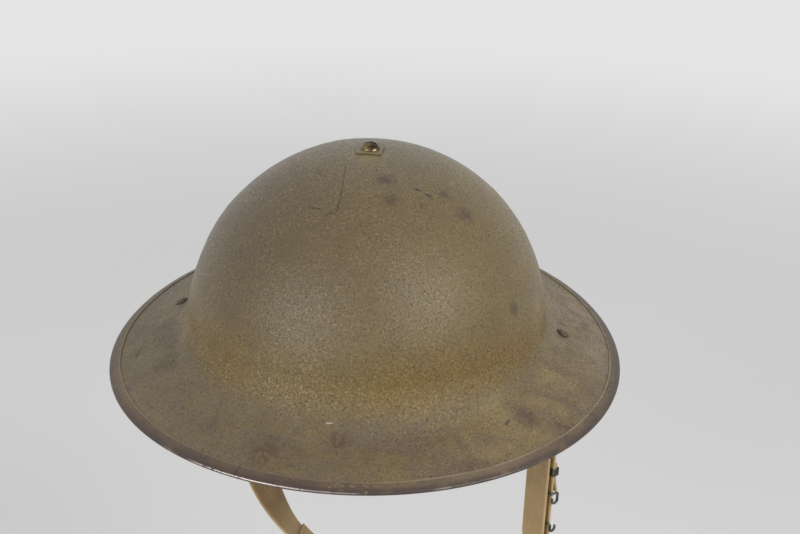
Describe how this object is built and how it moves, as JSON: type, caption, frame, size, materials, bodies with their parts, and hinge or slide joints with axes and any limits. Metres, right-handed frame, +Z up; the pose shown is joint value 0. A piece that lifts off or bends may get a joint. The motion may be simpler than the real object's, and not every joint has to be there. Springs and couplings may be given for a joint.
{
  "type": "steel helmet",
  "caption": "Wide-brimmed steel combat helmet with folded rim, crown screw, spring-framed leather liner and hinged webbing chin straps with wire hooks and a catch ring.",
  "frame": {"origin": "centre of the mean rim plane, where the head enters the helmet", "axes": "+Z up through the crown screw, -Y the front, +Y the back, +X the side with the hooks"},
  "size_m": [0.2918, 0.311, 0.2909],
  "materials": {
    "shell_paint": "textured olive-brown paint, worn",
    "rim_paint": "worn paint over steel",
    "plate_paint": "painted",
    "brass": "aged brass",
    "bare_steel": "dull steel",
    "spring_steel": "blued spring steel",
    "rivet_steel": "dull steel",
    "fitting_paint": "painted dark",
    "leather": "aged brown leather",
    "felt": "grey-buff wool felt",
    "lace": "waxed cotton lace",
    "webbing": "khaki cotton webbing",
    "wire": "dark oxidised steel wire"
  },
  "bodies": {
    "helmet": {"shell": "shell_paint", "rim_band": "rim_paint", "crown_plate": "plate_paint", "crown_screw": "brass", "crown_washer": "bare_steel", "crown_nut": "bare_steel", "long_spring": "spring_steel", "cross_spring": "spring_steel", "head_hoop": "spring_steel", "arm_rivets": "rivet_steel", "crown_pad": "felt", "pad_rivets": "rivet_steel", "sweatband": "leather", "liner_tongues": "leather", "liner_lace": "lace", "bail_clip_right": "fitting_paint", "bail_clip_left": "fitting_paint", "bail_rivet_right": "shell_paint", "bail_rivet_left": "shell_paint"},
    "right_bail": {"bail_right": "fitting_paint"},
    "right_strap": {"strap_right": "webbing", "hook_tab": "webbing", "strap_clamp": "wire", "upper_hook": "wire", "lower_hook": "wire"},
    "left_bail": {"bail_left": "fitting_paint"},
    "left_strap": {"strap_left": "webbing"},
    "ring": {"catch_ring": "wire"}
  },
  "joints": [
    {"name": "right_bail_swing", "type": "hinge", "parent": "helmet", "child": "right_bail", "pos_m": [0.10484, 0.0045, 0.01162], "axis": [0, 1, 0], "range_deg": [-30, 25]},
    {"name": "right_strap_swing", "type": "hinge", "parent": "right_bail", "child": "right_strap", "pos_m": [0.10484, 0.0045, -0.00038], "axis": [0, 1, 0], "range_deg": [-35, 35]},
    {"name": "left_bail_swing", "type": "hinge", "parent": "helmet", "child": "left_bail", "pos_m": [-0.10484, 0.0045, 0.01162], "axis": [0, 1, 0], "range_deg": [-25, 30]},
    {"name": "left_strap_swing", "type": "hinge", "parent": "left_bail", "child": "left_strap", "pos_m": [-0.10484, 0.0045, -0.00038], "axis": [0, 1, 0], "range_deg": [-20, 50]},
    {"name": "ring_swing", "type": "hinge", "parent": "left_strap", "child": "ring", "pos_m": [-0.03089, 0.0045, -0.1605], "axis": [0, 1, 0], "range_deg": [-120, 120]}
  ]
}
